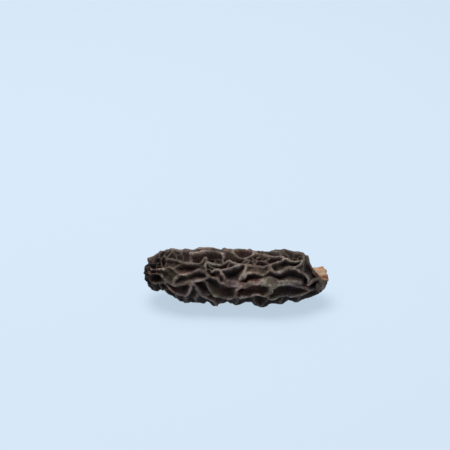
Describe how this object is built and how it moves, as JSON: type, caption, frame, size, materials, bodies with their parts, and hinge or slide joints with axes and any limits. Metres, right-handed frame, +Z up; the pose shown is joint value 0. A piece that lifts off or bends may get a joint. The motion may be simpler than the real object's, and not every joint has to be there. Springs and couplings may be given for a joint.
{
  "type": "morel mushroom",
  "caption": "Dried morel mushroom lying on its belly: long honeycombed cap with deep pits between winding ridges, and a short hollow stem stub open at its end.",
  "frame": {"origin": "centre of the footprint's bounding box, on the surface it lies on", "axes": "+X along the mushroom from the cap's tip towards the stem, +Z up, -Y towards the side shown in front"},
  "size_m": [0.066, 0.0246, 0.0195],
  "materials": {
    "flesh": "dry, matte, dark brown pits with paler grey-brown crests and a tan stem stub"
  },
  "bodies": {
    "root": {"morel": "flesh"}
  },
  "joints": []
}
